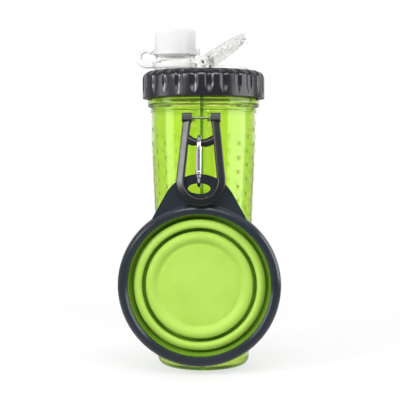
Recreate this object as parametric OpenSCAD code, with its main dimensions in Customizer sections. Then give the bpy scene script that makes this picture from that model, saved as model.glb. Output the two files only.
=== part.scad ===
// Dog travel water bottle: a clear green two-chamber bottle with a fluted screw collar,
// a clear lid with a capped drinking spout and a hinged snack door, a carry loop,
// a small snap hook and a folding silicone bowl that hangs in front.
// Millimetres. Origin at the middle of the foot, +Z up, the bowl hangs on the -Y side.

/* [Bottle] */
// Height of the green body up to the underside of the neck bead
body_h = 193.3; // [170:0.5:230]
// Outer diameter of the straight upper body
body_top_d = 77.8; // [76:0.2:80]
// Outer diameter just above the rounded foot
body_base_d = 68.8; // [62:0.2:74]
// Length of the straight upper body below the neck bead
body_straight_h = 28; // [24:1:50]
// Thickness of the side wall and of the neck wall
wall = 2.2; // [1.6:0.1:2.6]
// Thickness of the bottle floor
floor_t = 3; // [2:0.1:5]
// Thickness of the wall between the two chambers
divider_t = 2.1; // [1.4:0.1:3]
// Radius of the rounded foot
foot_r = 5; // [3:0.5:7]
// Height of the bead at the foot of the neck
bead_h = 5.2; // [4:0.1:7]
// How far the bead stands out from the straight body
bead_out = 3; // [2:0.1:3.4]
// Height of the neck above the bead
neck_h = 15; // [13:0.5:18]
// How far the neck stands out from the straight body
neck_out = 0.7; // [0:0.1:1.2]

/* [Collar] */
// How far the fluted screw collar stands out from the straight body
collar_out = 6.8; // [6.4:0.1:8]
// Height of the collar
collar_h = 20.3; // [19.5:0.1:24]
// Thickness of the collar wall between the flutes
collar_wall = 3.3; // [2.8:0.1:3.6]
// Radius of the collar's rounded shoulder
shoulder_r = 6; // [4:0.5:7]
// Number of flutes round the collar
flute_count = 26; // [12:1:30]
// Depth of a flute
flute_depth = 1.2; // [0.6:0.1:1.6]
// Radius of the round flute
flute_r = 5; // [3:0.1:6]
// Height of the pointed foot of a flute
flute_point_h = 7.6; // [3:0.1:9]
// Height of the plain band below the flutes
flute_band_h = 1.3; // [0.5:0.1:3]

/* [Lid] */
// Thickness of the lid deck and of its flange
deck_t = 2; // [1.6:0.1:2.6]
// How far the deck stands above the flange
deck_rise = 2.5; // [2:0.1:3.5]
// Length of the plug skirt inside the neck
skirt_h = 7; // [5:0.5:8]
// Thickness of the lid gasket
gasket_t = 1; // [0.6:0.1:2]
// Height of the lip round the snack opening
lip_h = 2.7; // [1.5:0.1:3.5]
// Thickness of the lip
lip_t = 1.8; // [1.2:0.1:2.4]
// Distance from the edge of the deck to the curved side of the snack opening
snack_margin = 6; // [5.2:0.1:9]
// Distance from the middle to the straight side of the snack opening
snack_x = 6.8; // [6:0.1:10]
// Distance from the edge of the deck to the spout foot
spout_margin = 1.6; // [1:0.1:1.8]
// Distance from the hinge axis of the snack door to the spout foot
spout_hinge_gap = 6.2; // [6:0.1:8]
// Height of the plain spout foot above the deck
spout_foot_h = 11.8; // [10:0.1:15]
// Width of the ledge from the spout foot in to the threaded spout
spout_ledge = 2.6; // [2.3:0.1:4]
// Wall thickness of the threaded spout
spout_wall = 1.8; // [1.6:0.1:3]
// Length of the threaded spout above its foot
spout_h = 17.3; // [14:0.1:20]

/* [Cap] */
// How far the cap stands out past the spout foot
cap_over = 0.2; // [0:0.1:0.5]
// Thickness of the cap wall and top
cap_wall = 1.7; // [1.2:0.1:1.8]
// Radius of the rounded top edge of the cap
cap_round = 2.4; // [1:0.1:3]
// Thickness of the liner disc in the cap
liner_t = 1.2; // [0.8:0.1:2]
// Height of the narrow foot of the cap, inside the tether ring
cap_foot_h = 5.4; // [4.5:0.1:6]
// How far the tether rings stand out past the spout foot
tether_over = 1.6; // [1.3:0.1:1.8]
// Height of the upper tether ring
tether_ring_h = 4.1; // [3:0.1:4.3]
// Height of the lower tether ring
tether_foot_h = 3; // [2:0.1:4]
// Radius of the tether's round strap at its middle line
strap_r = 5.7; // [5.4:0.1:6.2]
// Thickness of the tether strap
strap_t = 4; // [2.8:0.1:4.2]
// Width of the tether strap
strap_w = 6; // [4:0.1:9]
// How far the thumb tab stands out from the upper tether ring
thumb_tab = 2; // [1:0.1:2.4]

/* [Hatch] */
// Angle by which the snack door stands open
hatch_open = 34.3; // [0:0.1:60]
// How far the snack door reaches past the opening
door_over = 4.7; // [4.2:0.1:5]
// Depth of the door rim
door_rim_h = 3.7; // [3:0.1:4]
// Thickness of the door plate
door_t = 1.8; // [1.2:0.1:2.2]
// Height of the hinge axis above the deck
hatch_axis_h = 7; // [6.8:0.1:8]
// Length of the thumb lip at the tip of the door
door_lip = 2.2; // [1:0.1:3]
// Diameter of the hinge pin of the door
hatch_pin_d = 2; // [1.4:0.1:2.4]
// Outer diameter of the hinge knuckle
hatch_knuckle_d = 5.2; // [4.6:0.1:6]
// Length of the door's knuckle between the two ears
hatch_knuckle_l = 23.6; // [16:0.2:30]
// Thickness of each hinge ear
ear_t = 4; // [3:0.1:5]
// Radius of the round top of each hinge ear
ear_r = 4.2; // [3.4:0.1:4.2]

/* [Carry loop] */
// Distance from the underside of the neck bead down to the loop pin
loop_pin_drop = 9.6; // [8.5:0.1:12]
// Distance of the loop pin in front of the straight body
loop_pin_out = 7.1; // [6.8:0.1:9]
// Angle by which the loop leans forward where it rests on the bowl tab
loop_tilt = 11; // [10.5:0.1:14]
// Diameter of the round rod of the loop
rod_d = 5.9; // [5:0.1:6]
// Diameter of the crossbar
bar_d = 5.2; // [4.6:0.1:5.2]
// Distance from the pin down to the crossbar
bar_drop = 18; // [17:0.1:19]
// Radius of the curved crossbar
bar_curve_r = 14.3; // [13:0.1:18]
// Distance from the pin down to the middle of the round end
loop_end_drop = 45.7; // [45:0.1:56]
// Radius of the round end at the middle of the rod
loop_end_r = 14.4; // [13.4:0.1:16]
// Angle by which the arms splay
arm_splay = 5.7; // [2:0.1:7]
// Diameter of the loop's hinge knuckles
loop_knuckle_d = 6.3; // [5.8:0.1:7]
// Length of each of the loop's hinge knuckles
loop_knuckle_l = 7; // [6:0.1:9]
// Width over the two ears of the bottle, between the knuckles
lug_w = 12.7; // [11:0.1:13.4]
// Thickness of each of the bottle's ears
lug_t = 2; // [1.6:0.1:3]
// Diameter of the round nose of the bottle's ears
lug_d = 5.6; // [4.6:0.1:6.2]
// Diameter of the loop pin
loop_pin_d = 1.8; // [1.4:0.1:2.6]

/* [Snap hook] */
// Sideways place of the hook and of the bowl on the crossbar
hang_x = -1.3; // [-2:0.1:2]
// Overall length of the hook
hook_l = 37.6; // [36.5:0.1:40]
// Overall width of the hook
hook_w = 18.2; // [17.6:0.1:18.8]
// Diameter of the hook's rod
hook_rod_d = 3.2; // [2.8:0.1:3.4]
// Diameter of the gate
gate_d = 4; // [3.8:0.1:4.4]
// Height of the gate rivet above the middle of the lower bow
gate_rivet_rise = 2.3; // [2.2:0.1:3]
// Diameter of the gate rivet
rivet_d = 1.2; // [0.8:0.1:1.4]
// Thickness of the tongues that the gate closes over
tongue_t = 1.4; // [1:0.1:1.8]
// Gap between the gate and the nose of the hook
gate_gap = 0.35; // [0.2:0.05:0.8]

/* [Bowl] */
// Outer diameter of the bowl rim
rim_d = 115.8; // [106:0.2:126]
// Width of the rim bead
rim_w = 7.1; // [6:0.1:9]
// How far the rim bead stands in front of the middle plane
rim_front = 5.2; // [5.1:0.1:6]
// How far the rim bead stands behind the middle plane
rim_back = 3.6; // [3:0.1:4.4]
// Thickness of the hanging tab
tab_t = 2; // [1.6:0.1:2.2]
// Height of the tab's arch above the rim
tab_rise = 21.1; // [20:0.1:24]
// Radius of the tab's arch
tab_arch_r = 27; // [24:0.5:30]
// Angle of the tab's straight flanks from the vertical
tab_flank = 29; // [25:0.5:36]
// Distance from the top of the arch down to the hole in the tab
tab_edge = 6.5; // [5:0.1:8]
// Width of the hole in the tab
tab_hole_w = 16; // [10:0.1:18]
// Height of the hole in the tab
tab_hole_h = 7.4; // [6:0.1:8]
// Thickness of the silicone walls
silicone_t = 1.4; // [1:0.1:1.6]
// Depth of the folds behind the rim's middle plane
fold_depth = 7.6; // [6:0.1:8]
// Width of the groove between the rim and the middle band
outer_groove_w = 4.8; // [4.2:0.1:6]
// Width of the middle band
band_w = 6.2; // [5.4:0.1:8]
// Width of the groove between the middle band and the inner ridge
inner_groove_w = 2.6; // [2:0.1:4]
// Width of the inner ridge round the floor
ridge_w = 8.1; // [6:0.1:10]

/* [Hidden] */

$fn = 96;

// Clearances
eps = 0.01;
face_gap = 0.05;
run_gap = 0.05;
slip_gap = 0.2;
side_gap = 0.25;
cut = 1;

// Levels of the bottle
top_r = body_top_d / 2;
base_r = body_base_d / 2;
bead_r = top_r + bead_out;
bead_top_z = body_h + bead_h;
neck_r = top_r + neck_out;
neck_in_r = neck_r - wall;
neck_top_z = bead_top_z + neck_h;
straight_z = body_h - body_straight_h;
taper_steps = 14;
foot_steps = 6;
ring_h = 2;
ring_out = 1.1;
ring_z = body_h - 4.3;
groove_h = 0.8;
groove_in = 0.6;
groove_z = body_h + 1.2;

// Levels of the lid
gasket_z = neck_top_z;
flange_z = gasket_z + gasket_t;
flange_top_z = flange_z + deck_t;
flange_r = top_r + 2.5;
deck_z = flange_z + deck_rise;
deck_top_z = deck_z + deck_t;
skirt_r = neck_in_r - slip_gap;
skirt_t = 1.6;
skirt_z = flange_z - skirt_h;
divider_top_z = skirt_z - 0.5;
seal_rise = 3;
seal_end_gap = 0.5;
seal_top_z = divider_top_z + seal_rise;
seal_side = 1.1;
seal_reach = 2;

// Levels of the collar
collar_r = top_r + collar_out;
collar_z = bead_top_z + 0.8;
collar_top_z = collar_z + collar_h;
collar_in_r = collar_r - collar_wall;
collar_hole_r = collar_in_r - 4.2;
collar_roof_z = flange_top_z + face_gap;
deck_r = collar_hole_r - 0.4;
snap_h = 1.1;
snap_in = 1.5;
snap_z = flange_z - 0.3 - snap_h;
flute_pitch = 360 / flute_count;
flute_lean = atan(flute_depth / flute_point_h);

// Levels of the spout and its cap
spout_foot_d = deck_r - spout_margin - spout_hinge_gap;
spout_x = deck_r - spout_margin - spout_foot_d / 2;
spout_d = spout_foot_d - 2 * spout_ledge;
spout_bore_d = spout_d - 2 * spout_wall;
spout_foot_z = deck_top_z + spout_foot_h;
spout_top_z = spout_foot_z + spout_h;
spout_step_h = 3.5;
spout_step = 0.6;
liner_z = spout_top_z + face_gap;
cap_top_z = liner_z + liner_t + cap_wall;
cap_z = spout_foot_z + 0.4;
cap_shell_z = cap_z + cap_foot_h;
cap_d = spout_foot_d + 2 * cap_over;
cap_in_r = cap_d / 2 - cap_wall;
cap_foot_r = cap_d / 2 - 0.9;
cap_bead_h = 0.9;
cap_bead_out = 0.5;
tether_ring_z = cap_shell_z - 0.15 - tether_ring_h;
tether_foot_z = deck_top_z + spout_step_h + face_gap;
tether_r = spout_foot_d / 2 + tether_over;
strap_rise = 0.9;
strap_z = tether_foot_z + tether_foot_h / 2 + strap_r + strap_rise;
strap_x = spout_x + tether_r + strap_r - 0.5;

// Levels of the hatch
snack_r = deck_r - snack_margin;
door_r = snack_r + door_over;
hatch_z = deck_top_z + hatch_axis_h;
door_top = 1.2;
door_rim_t = 1.2;
seal_w = 3;
seal_r = snack_r + lip_t / 2 + seal_w / 2;
seal_x = snack_x - lip_t / 2 - seal_w / 2;
door_x = seal_x - slip_gap - door_rim_t;
catch_w = 8;
catch_t = 1.6;
catch_h = 4;
ear_front = 2.6;

// Places of the loop, the hook and the bowl
loop_pin_y = top_r + loop_pin_out;
loop_pin_z = body_h - loop_pin_drop;
bar_y = -loop_pin_y - bar_drop * sin(loop_tilt);
bar_z = loop_pin_z - bar_drop * cos(loop_tilt) + pow(hang_x, 2) / (2 * bar_curve_r);
elbow_drop = loop_end_drop - 2;
elbow_lap = 0.6;
bow_r = (hook_w - hook_rod_d) / 2;
hook_top_z = bar_z + bar_d / 2 + face_gap + hook_rod_d;
bow_top = hook_top_z - hook_w / 2;
bow_low = hook_top_z - hook_l + hook_w / 2;
rivet_z = bow_low + gate_rivet_rise;
nose_z = bow_top - 1.4;
nose_tongue = 2.2;
tongue_r = 1.7;
spring_t = 0.35;
spring_w = 1;
spring_l = 7;
hang_gap = 0.1;
rim_r = rim_d / 2;
tab_h = rim_r + tab_rise;
hole_top = tab_h - tab_edge;
bowl_z = bow_low - bow_r + hook_rod_d / 2 + hang_gap - hole_top;

// Sections of the bowl, where u runs back towards the bottle
rim_in_r = rim_r - rim_w;
band_out_r = rim_in_r - outer_groove_w;
band_in_r = band_out_r - band_w;
inner_ridge_r = band_in_r - inner_groove_w;
floor_r = inner_ridge_r - ridge_w;
ridge_u = -0.8;
ridge_round = 2.6;
skirt_u = ridge_u + ridge_round + 0.4;
floor_u = 0.4;
fold_gap = 0.1;
fold_round = 0.7;
clamp_w = 3;
clamp_t = 1.5;
fillet_r = 3;

function half_turn(n, from, to) = [for (i = [0:n]) from + (to - from) * i / n];

function body_r(z) =
    z >= straight_z ? top_r
    : base_r + (top_r - base_r) * pow(max(0, (z - foot_r) / (straight_z - foot_r)), 2);

function foot_arc(r, z, round) =
    [for (a = half_turn(foot_steps, -90, 0)) [r - round + round * cos(a), z + round + round * sin(a)]];

function taper(inset, from) =
    [for (i = [1:taper_steps])
        let (z = from + (straight_z - from) * i / taper_steps)
        [body_r(z) - inset, z]];

// Bottle

module body_solid() {
    rotate_extrude()
        polygon(concat(
            [[0, 0]],
            foot_arc(base_r, 0, foot_r),
            taper(0, foot_r),
            [
                [top_r, ring_z], [top_r + ring_out, ring_z + 0.4],
                [top_r + ring_out, ring_z + ring_h - 0.3], [top_r + 0.4, ring_z + ring_h + 0.2],
                [top_r + 0.4, body_h - 1.2], [bead_r - 0.7, body_h], [bead_r, body_h + 0.7],
                [bead_r, groove_z], [bead_r - groove_in, groove_z + groove_h / 2],
                [bead_r, groove_z + groove_h], [bead_r, bead_top_z - 0.7],
                [bead_r - 0.7, bead_top_z], [neck_r, bead_top_z], [neck_r, neck_top_z - 0.5],
                [neck_r - 0.5, neck_top_z], [0, neck_top_z]
            ]
        ));
}

module chamber_solid() {
    in_round = foot_r - wall / 2;
    rotate_extrude()
        polygon(concat(
            [[0, floor_t]],
            foot_arc(base_r - wall, floor_t, in_round),
            taper(wall, floor_t + in_round),
            [
                [top_r - wall, body_h - 2], [neck_in_r, body_h + 2],
                [neck_in_r, neck_top_z + cut], [0, neck_top_z + cut]
            ]
        ));
}

module side_space(side, from_z, reach) {
    translate([side > 0 ? divider_t / 2 : -reach - divider_t / 2, -reach, from_z])
        cube([reach, 2 * reach, neck_top_z + 2 * cut - from_z]);
}

module lug_ear() {
    seat_y = top_r - wall / 2;
    rotate([90, 0, 90])
        linear_extrude(lug_t)
            union() {
                translate([-loop_pin_y, loop_pin_z]) circle(d = lug_d);
                polygon([
                    [-loop_pin_y, loop_pin_z + lug_d / 2],
                    [-seat_y, loop_pin_z + lug_d / 2 + 1],
                    [-seat_y, loop_pin_z - lug_d / 2 - 4],
                    [-loop_pin_y, loop_pin_z - lug_d / 2]
                ]);
            }
}

module bottle_shell() {
    color([0.62, 0.86, 0.2, 0.7])
        difference() {
            union() {
                difference() {
                    body_solid();
                    for (side = [-1, 1])
                        intersection() {
                            chamber_solid();
                            side_space(side, 0, 2 * top_r);
                        }
                    translate([-divider_t, -neck_in_r, divider_top_z])
                        cube([2 * divider_t, 2 * neck_in_r, neck_h]);
                }
                for (x = [-lug_w / 2, lug_w / 2 - lug_t])
                    translate([x, 0, 0])
                        lug_ear();
            }
            translate([-lug_w, -loop_pin_y, loop_pin_z])
                rotate([0, 90, 0])
                    cylinder(d = loop_pin_d, h = 2 * lug_w);
        }
}

module loop_hinge_pin() {
    pin_l = lug_w + 2 * side_gap + 2 * loop_knuckle_l - 1;
    color([0.25, 0.26, 0.28])
        translate([-pin_l / 2, -loop_pin_y, loop_pin_z])
            rotate([0, 90, 0])
                cylinder(d = loop_pin_d, h = pin_l);
}

// Lid

module half_disc(r, x) {
    intersection() {
        circle(r);
        translate([x, -r]) square([r, 2 * r]);
    }
}

module at_spout() {
    translate([-spout_x, 0, 0]) children();
}

module lid_disc() {
    rotate_extrude()
        polygon([
            [0, deck_z], [skirt_r - skirt_t, deck_z], [skirt_r - skirt_t, skirt_z],
            [skirt_r - 0.5, skirt_z], [skirt_r, skirt_z + 1], [skirt_r, flange_z],
            [flange_r, flange_z], [flange_r, flange_top_z], [deck_r, flange_top_z],
            [deck_r, deck_top_z - 0.4], [deck_r - 0.4, deck_top_z], [0, deck_top_z]
        ]);
}

module hinge_ear(from_y) {
    translate([0, from_y + ear_t, 0])
        rotate([90, 0, 0])
            linear_extrude(ear_t)
                difference() {
                    union() {
                        translate([0, hatch_z]) circle(ear_r);
                        translate([-ear_r, deck_top_z - cut])
                            square([ear_r + ear_front, hatch_axis_h + cut]);
                    }
                    translate([0, hatch_z]) circle(d = hatch_pin_d);
                }
}

module lid_insert() {
    rib_w = divider_t + 2 * seal_side;
    rib_l = 2 * (skirt_r - skirt_t) - 0.2;
    color([0.9, 0.93, 0.93, 0.5])
        difference() {
            union() {
                lid_disc();
                translate([-rib_w / 2, -rib_l / 2, seal_top_z + face_gap])
                    cube([rib_w, rib_l, deck_z + 0.5 - seal_top_z]);
                translate([0, 0, deck_z])
                    linear_extrude(deck_t + lip_h)
                        half_disc(snack_r + lip_t, snack_x - lip_t);
                at_spout() {
                    translate([0, 0, deck_z])
                        cylinder(d = spout_foot_d, h = spout_foot_z - deck_z);
                    translate([0, 0, deck_z])
                        cylinder(d = spout_foot_d + 2 * spout_step, h = deck_t + spout_step_h);
                    translate([0, 0, spout_foot_z - cut])
                        cylinder(d = spout_d, h = spout_h + cut);
                }
                hinge_ear(-hatch_knuckle_l / 2 - side_gap - ear_t);
                hinge_ear(hatch_knuckle_l / 2 + side_gap);
            }
            translate([0, 0, deck_z - cut])
                linear_extrude(deck_t + lip_h + 2 * cut)
                    half_disc(snack_r, snack_x);
            at_spout()
                translate([0, 0, deck_z - cut])
                    cylinder(d = spout_bore_d, h = spout_top_z - deck_z + 2 * cut);
        }
}

module lid_gasket() {
    color([0.85, 0.86, 0.86])
        translate([0, 0, gasket_z])
            difference() {
                cylinder(r = neck_r + 0.2, h = gasket_t);
                translate([0, 0, -cut]) cylinder(r = neck_in_r, h = gasket_t + 2 * cut);
            }
}

module divider_seal() {
    seal_w_all = divider_t + 2 * seal_side;
    seal_l = 2 * (skirt_r - skirt_t - seal_end_gap);
    color([0.85, 0.86, 0.86])
        difference() {
            translate([-seal_w_all / 2, -seal_l / 2, divider_top_z - seal_reach])
                cube([seal_w_all, seal_l, seal_top_z - divider_top_z + seal_reach]);
            translate([-divider_t / 2 - run_gap, -seal_l, divider_top_z - seal_reach - cut])
                cube([divider_t + 2 * run_gap, 2 * seal_l, seal_reach + cut + face_gap]);
        }
}

// Collar

module collar_solid() {
    rotate_extrude()
        polygon(concat(
            [
                [collar_hole_r, collar_roof_z], [collar_in_r, collar_roof_z],
                [collar_in_r, snap_z + snap_h], [collar_in_r - snap_in, snap_z + 0.6],
                [collar_in_r - snap_in, snap_z + 0.4], [collar_in_r, snap_z],
                [collar_in_r, collar_z + 1], [collar_in_r + 0.5, collar_z],
                [collar_r - 0.5, collar_z], [collar_r, collar_z + 0.5]
            ],
            [for (a = half_turn(8, 0, 90))
                [collar_r - shoulder_r + shoulder_r * cos(a),
                 collar_top_z - shoulder_r + shoulder_r * sin(a)]],
            [[collar_hole_r + 0.5, collar_top_z], [collar_hole_r, collar_top_z - 0.5]]
        ));
}

module flute_cut() {
    centre_r = collar_r - flute_depth + flute_r;
    foot_z = collar_z + flute_band_h + flute_point_h;
    shoulder_z = collar_top_z - shoulder_r;
    translate([centre_r, 0, foot_z])
        cylinder(r = flute_r, h = collar_top_z + cut - foot_z);
    translate([centre_r, 0, foot_z])
        rotate([0, 180 - flute_lean, 0])
            cylinder(r = flute_r, h = 2 * flute_point_h);
    translate([collar_r - shoulder_r, 0, shoulder_z])
        rotate([0, -45, 0])
            translate([shoulder_r - flute_depth + flute_r, 0, -shoulder_r])
                cylinder(r = flute_r, h = 2 * shoulder_r);
}

module collar() {
    color([0.3, 0.31, 0.35])
        difference() {
            collar_solid();
            for (i = [0:flute_count - 1])
                rotate([0, 0, -90 + (i + 0.5) * flute_pitch])
                    flute_cut();
        }
}

// Spout cap and tether

module tether_neck_ring() {
    color([0.9, 0.91, 0.92, 0.8])
        at_spout()
            translate([0, 0, tether_foot_z])
                difference() {
                    cylinder(r = tether_r, h = tether_foot_h);
                    translate([0, 0, -cut])
                        cylinder(d = spout_foot_d + 2 * run_gap, h = tether_foot_h + 2 * cut);
                }
}

module tether_strap() {
    color([0.9, 0.91, 0.92, 0.8])
        difference() {
            union() {
                translate([-strap_x, 0, strap_z])
                    rotate([90, 0, 0])
                        rotate([0, 0, 18])
                            rotate_extrude(angle = 252)
                                translate([strap_r - strap_t / 2, -strap_w / 2])
                                    square([strap_t, strap_w]);
                translate([-strap_x - 0.5, -strap_w / 2, strap_z - strap_r - strap_t / 2 + 2 * eps])
                    cube([strap_r + 0.5, strap_w, strap_t - 4 * eps]);
            }
            at_spout()
                translate([0, 0, deck_top_z])
                    cylinder(r = tether_r + face_gap, h = cap_top_z - deck_top_z);
        }
}

module tether_cap_ring() {
    color([0.9, 0.91, 0.92, 0.8])
        at_spout()
            translate([0, 0, tether_ring_z])
                difference() {
                    union() {
                        cylinder(r = tether_r, h = tether_ring_h);
                        translate([tether_r + thumb_tab - 4, 0, 0])
                            cylinder(r = 4, h = tether_ring_h);
                    }
                    translate([0, 0, -cut])
                        cylinder(r = cap_foot_r + run_gap, h = tether_ring_h + 2 * cut);
                }
}

module spout_cap() {
    cap_r = cap_d / 2;
    color([0.93, 0.93, 0.95])
        at_spout()
            rotate_extrude()
                polygon(concat(
                    [
                        [cap_in_r, cap_z], [cap_foot_r - 0.1, cap_z],
                        [cap_foot_r + cap_bead_out, cap_z + cap_bead_h / 2],
                        [cap_foot_r, cap_z + cap_bead_h], [cap_foot_r, cap_shell_z],
                        [cap_r, cap_shell_z]
                    ],
                    [for (a = half_turn(5, 0, 90))
                        [cap_r - cap_round + cap_round * cos(a),
                         cap_top_z - cap_round + cap_round * sin(a)]],
                    [[0, cap_top_z + 0.5], [0, cap_top_z - cap_wall], [cap_in_r, cap_top_z - cap_wall]]
                ));
}

module cap_liner() {
    color([0.8, 0.82, 0.83])
        at_spout()
            translate([0, 0, liner_z])
                cylinder(r = cap_in_r - 0.1, h = liner_t);
}

// Snack door

module at_hatch() {
    translate([0, 0, hatch_z])
        rotate([0, -hatch_open, 0])
            children();
}

module hatch_door() {
    color([0.92, 0.94, 0.93, 0.5])
        at_hatch()
            difference() {
                union() {
                    translate([0, 0, door_top - door_t])
                        linear_extrude(door_t)
                            half_disc(door_r, door_x);
                    translate([0, 0, door_top - door_rim_h])
                        linear_extrude(door_rim_h)
                            difference() {
                                half_disc(door_r, door_x);
                                half_disc(door_r - door_rim_t, door_x + door_rim_t);
                            }
                    translate([0, -hatch_knuckle_l / 2, door_top - door_t])
                        cube([door_x + 1, hatch_knuckle_l, door_t]);
                    translate([0, hatch_knuckle_l / 2, 0])
                        rotate([90, 0, 0])
                            cylinder(d = hatch_knuckle_d, h = hatch_knuckle_l);
                    translate([door_r - 2, -catch_w / 2, door_top - 1.2])
                        cube([door_lip + 2, catch_w, 1.2]);
                    translate([door_r - catch_t - 0.3, -catch_w / 2, door_top - door_rim_h - catch_h])
                        cube([catch_t, catch_w, catch_h + 1]);
                }
                translate([0, hatch_knuckle_l, 0])
                    rotate([90, 0, 0])
                        cylinder(d = hatch_pin_d + 2 * run_gap, h = 2 * hatch_knuckle_l);
                for (y = [-hatch_knuckle_l / 2, hatch_knuckle_l / 2 + ear_t + 2 * side_gap])
                    translate([0, y, 0])
                        rotate([90, 0, 0])
                            cylinder(r = ear_r + slip_gap, h = ear_t + 2 * side_gap);
            }
}

module hatch_seal() {
    seal_h = hatch_axis_h - lip_h + door_top - door_t - 0.1;
    color([0.85, 0.88, 0.85, 0.8])
        at_hatch()
            translate([0, 0, door_top - door_t - seal_h])
                linear_extrude(seal_h)
                    difference() {
                        half_disc(seal_r, seal_x);
                        half_disc(seal_r - seal_w, seal_x + seal_w);
                    }
}

module hatch_hinge_pin() {
    pin_l = hatch_knuckle_l + 2 * side_gap + 2 * ear_t;
    color([0.75, 0.76, 0.78])
        translate([0, pin_l / 2, hatch_z])
            rotate([90, 0, 0])
                cylinder(d = hatch_pin_d, h = pin_l);
}

// Carry loop

module at_loop() {
    translate([0, -loop_pin_y, loop_pin_z])
        rotate([-loop_tilt, 0, 0])
            children();
}

module rod_arc(radius, thick, from, to) {
    rotate([90, 0, 0])
        rotate([0, 0, from])
            rotate_extrude(angle = to - from)
                translate([radius, 0])
                    circle(d = thick);
}

module loop_side(side) {
    mirror([side > 0 ? 0 : 1, 0, 0]) {
        translate([lug_w / 2 + side_gap, 0, 0])
            rotate([0, 90, 0])
                cylinder(d = loop_knuckle_d, h = loop_knuckle_l);
        translate([loop_end_r, 0, -elbow_drop])
            rotate([0, -arm_splay, 0])
                translate([0, 0, -elbow_lap])
                    cylinder(d = rod_d, h = elbow_drop / cos(arm_splay) + elbow_lap);
        translate([loop_end_r, 0, -loop_end_drop])
            cylinder(d = rod_d, h = loop_end_drop - elbow_drop + elbow_lap);
    }
}

module carry_loop() {
    arm_x = loop_end_r - (elbow_drop - bar_drop + 5) * tan(arm_splay);
    bar_reach = asin(min(0.95, arm_x / bar_curve_r));
    color([0.13, 0.14, 0.15])
        at_loop()
            difference() {
                union() {
                    for (side = [-1, 1])
                        loop_side(side);
                    translate([0, 0, -loop_end_drop])
                        rod_arc(loop_end_r, rod_d, 180, 360);
                    translate([0, 0, bar_curve_r - bar_drop])
                        rod_arc(bar_curve_r, bar_d, 270 - bar_reach, 270 + bar_reach);
                }
                translate([-2 * lug_w, 0, 0])
                    rotate([0, 90, 0])
                        cylinder(d = loop_pin_d + 2 * run_gap, h = 4 * lug_w);
            }
}

// Snap hook

module at_hook() {
    translate([hang_x, bar_y, 0])
        rotate([90, 0, 90])
            children();
}

module hook_bow(level, from) {
    translate([0, level, 0])
        rotate([0, 0, from])
            rotate_extrude(angle = 180)
                translate([bow_r, 0])
                    circle(d = hook_rod_d);
}

module hook_rod(x, from, to) {
    translate([x, from, 0])
        rotate([-90, 0, 0])
            cylinder(d = hook_rod_d, h = to - from);
}

module carabiner_body() {
    color([0.8, 0.81, 0.83])
        at_hook()
            difference() {
                union() {
                    hook_bow(bow_low, 180);
                    hook_bow(bow_top, 0);
                    hook_rod(bow_r, bow_low, bow_top);
                    hook_rod(-bow_r, nose_z, bow_top);
                    translate([-bow_r, 0, -tongue_t / 2])
                        linear_extrude(tongue_t)
                            union() {
                                translate([0, rivet_z]) circle(tongue_r);
                                translate([-1.2, bow_low - 0.6]) square([2.4, rivet_z - bow_low + 0.6]);
                            }
                    translate([-bow_r - 1, nose_z - nose_tongue, -tongue_t / 2])
                        cube([2, nose_tongue + 1, tongue_t]);
                }
                translate([-bow_r, rivet_z, -gate_d])
                    cylinder(d = rivet_d, h = 2 * gate_d);
            }
}

module carabiner_gate() {
    gate_l = nose_z - gate_gap - rivet_z;
    slot_w = tongue_t + 2 * run_gap;
    color([0.86, 0.87, 0.89])
        at_hook()
            translate([-bow_r, rivet_z, 0])
                difference() {
                    intersection() {
                        translate([0, -gate_d, 0])
                            rotate([-90, 0, 0])
                                cylinder(d = gate_d, h = gate_l + gate_d);
                        union() {
                            translate([0, 0, -gate_d]) cylinder(d = gate_d, h = 2 * gate_d);
                            translate([-gate_d, 0, -gate_d]) cube([2 * gate_d, gate_l, 2 * gate_d]);
                        }
                    }
                    translate([-gate_d, -gate_d, -slot_w / 2])
                        cube([2 * gate_d, gate_d + tongue_r + 0.4, slot_w]);
                    translate([-gate_d, gate_l - nose_tongue - 0.2, -slot_w / 2])
                        cube([2 * gate_d, nose_tongue + cut, slot_w]);
                    translate([-0.4, 0, -slot_w / 2])
                        cube([gate_d, tongue_r + spring_l, slot_w]);
                    translate([-gate_d, 0, -0.4])
                        cube([gate_d - gate_d / 2 + 0.5, gate_l, 0.8]);
                    translate([0, 0, -gate_d])
                        cylinder(d = rivet_d + 2 * run_gap, h = 2 * gate_d);
                }
}

module gate_rivet() {
    head_t = 0.35;
    color([0.7, 0.71, 0.73])
        at_hook()
            translate([-bow_r, rivet_z, 0]) {
                translate([0, 0, -gate_d / 2 - run_gap])
                    cylinder(d = rivet_d, h = gate_d + 2 * run_gap);
                for (side = [-1, 1])
                    translate([0, 0, side * (gate_d / 2 + run_gap + head_t / 2) - head_t / 2])
                        cylinder(d = rivet_d + 0.8, h = head_t);
            }
}

module gate_spring() {
    color([0.65, 0.66, 0.68])
        at_hook()
            translate([-bow_r + 0.2, rivet_z + tongue_r + face_gap, -spring_w / 2])
                cube([spring_t, spring_l - 0.4, spring_w]);
}

// Bowl

module at_bowl() {
    translate([hang_x, bar_y, bowl_z])
        rotate([-90, 0, 0])
            children();
}

module tab_outline() {
    arch_y = tab_arch_r - tab_h;
    flank = [sin(tab_flank), cos(tab_flank)];
    from = [tab_arch_r * cos(tab_flank), arch_y - tab_arch_r * sin(tab_flank)];
    along = from * flank;
    reach = -along - sqrt(max(1, along * along - from * from + pow(rim_r - 1, 2)));
    foot = from + reach * flank;
    offset(r = -fillet_r)
        offset(r = fillet_r)
            union() {
                circle(rim_r - 1);
                translate([0, arch_y]) circle(tab_arch_r);
                polygon([from, foot, [-foot.x, foot.y], [-from.x, from.y]]);
            }
}

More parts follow.
